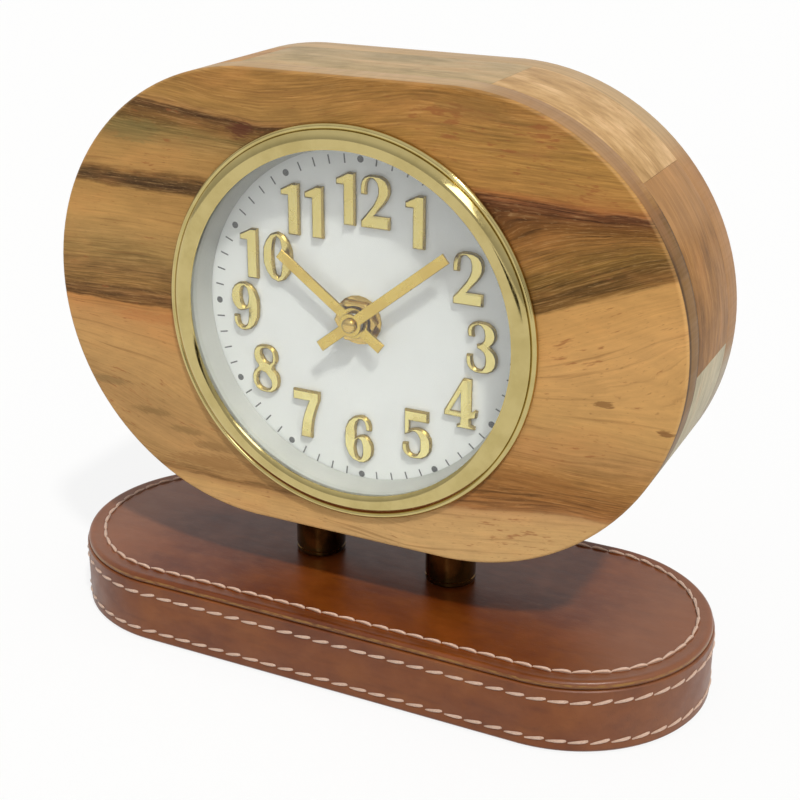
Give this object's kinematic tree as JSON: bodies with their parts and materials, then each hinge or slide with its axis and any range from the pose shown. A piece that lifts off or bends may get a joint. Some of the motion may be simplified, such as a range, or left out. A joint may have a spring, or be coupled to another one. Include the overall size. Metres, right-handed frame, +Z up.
{
  "type": "table clock",
  "caption": "Stadium-shaped wooden table clock with a round brass-bezelled dial and raised numerals, on short bronze posts over a stitched, leather-covered base.",
  "frame": {"origin": "middle of the base's underside, on the table", "axes": "+Z up, +X to the right seen from the front, the dial faces -Y"},
  "size_m": [0.201, 0.082, 0.1714],
  "materials": {
    "wood_front": "oiled acacia face board, figured, satin",
    "wood_blocks": "oiled acacia blocks, butt-jointed, satin",
    "wood_back": "oiled acacia back board, satin",
    "base_board": "plain fibreboard, sawn",
    "leather_top": "burnished chestnut leather, cream stitch",
    "leather_side": "burnished chestnut leather, cream stitch",
    "felt": "pressed felt",
    "bronze": "dark antique bronze, satin",
    "polished_brass": "polished and lacquered",
    "brass": "turned",
    "numeral_gold": "satin gold plating",
    "hand_gold": "brushed gold plating",
    "steel": "zinc plated",
    "contact_steel": "nickel plated",
    "crystal": "clear mineral glass",
    "dial_white": "matt white enamel",
    "rim_white": "satin white",
    "movement_plastic": "moulded, fine grain",
    "nylon": "natural moulded",
    "rubber": "moulded",
    "magnet": "sintered, nickel washed",
    "copper_winding": "enamelled wire",
    "circuit_board": "solder-masked laminate",
    "battery_can": "metal can in a plain dark sleeve"
  },
  "bodies": {
    "clock": {"base_core": "base_board", "base_top_leather": "leather_top", "base_side_leather": "leather_side", "base_felt_pad": "felt", "support_post_left": "bronze", "support_post_right": "bronze", "base_bolt_left": "steel", "base_bolt_right": "steel", "case_insert_left": "brass", "case_insert_right": "brass", "case_front_board": "wood_front", "case_back_board": "wood_back", "case_block_1": "wood_blocks", "case_block_2": "wood_blocks", "case_block_3": "wood_blocks", "case_block_4": "wood_blocks", "case_block_5": "wood_blocks", "case_block_6": "wood_blocks", "case_block_7": "wood_blocks", "dial_plate": "dial_white", "dial_rim": "rim_white", "crystal": "crystal", "bezel": "polished_brass", "numeral_1": "numeral_gold", "numeral_2": "numeral_gold", "numeral_3": "numeral_gold", "numeral_4": "numeral_gold", "numeral_5": "numeral_gold", "numeral_6": "numeral_gold", "numeral_7": "numeral_gold", "numeral_8": "numeral_gold", "numeral_9": "numeral_gold", "numeral_10_tens": "numeral_gold", "numeral_10_ones": "numeral_gold", "numeral_11_tens": "numeral_gold", "numeral_11_ones": "numeral_gold", "numeral_12_tens": "numeral_gold", "numeral_12_ones": "numeral_gold", "hex_nut": "brass", "brass_washer": "brass", "rubber_washer": "rubber", "threaded_bushing": "brass", "movement_front_shell": "movement_plastic", "movement_rear_shell": "movement_plastic", "stator": "steel", "coil": "copper_winding", "circuit_board": "circuit_board", "battery_contact_positive": "contact_steel", "battery_contact_negative": "contact_steel"},
    "minute_arbor": {"minute_hand": "hand_gold", "hand_cap": "hand_gold", "centre_wheel": "brass"},
    "hour_pipe": {"hour_hand": "hand_gold", "hour_wheel": "nylon"},
    "set_arbor": {"set_knob": "movement_plastic", "minute_wheel": "nylon"},
    "third_arbor": {"third_wheel": "nylon"},
    "rotor_arbor": {"rotor": "magnet"},
    "battery_cell": {"battery": "battery_can"}
  },
  "joints": [
    {"name": "minute_hand_turn", "type": "hinge", "parent": "clock", "child": "minute_arbor", "pos_m": [0, 0, 0.1042], "axis": [0, 1, 0], "continuous": true},
    {"name": "hour_hand_turn", "type": "hinge", "parent": "clock", "child": "hour_pipe", "pos_m": [0, 0, 0.1042], "axis": [0, 1, 0], "continuous": true},
    {"name": "set_knob_turn", "type": "hinge", "parent": "clock", "child": "set_arbor", "pos_m": [-0.00636, 0, 0.11056], "axis": [0, 1, 0], "continuous": true},
    {"name": "third_wheel_turn", "type": "hinge", "parent": "clock", "child": "third_arbor", "pos_m": [0.00799, 0, 0.10711], "axis": [0, 1, 0], "continuous": true},
    {"name": "rotor_turn", "type": "hinge", "parent": "clock", "child": "rotor_arbor", "pos_m": [0.01116, 0, 0.11307], "axis": [0, 1, 0], "continuous": true},
    {"name": "battery_out", "type": "slide", "parent": "clock", "child": "battery_cell", "axis": [0, 1, 0], "range_m": [0, 0.04]}
  ],
  "couplings": [
    {"joint": "hour_hand_turn", "follows": "minute_hand_turn", "ratio": 0.083333},
    {"joint": "set_knob_turn", "follows": "minute_hand_turn", "ratio": -0.33333},
    {"joint": "third_wheel_turn", "follows": "minute_hand_turn", "ratio": -7.5},
    {"joint": "rotor_turn", "follows": "minute_hand_turn", "ratio": 60}
  ]
}
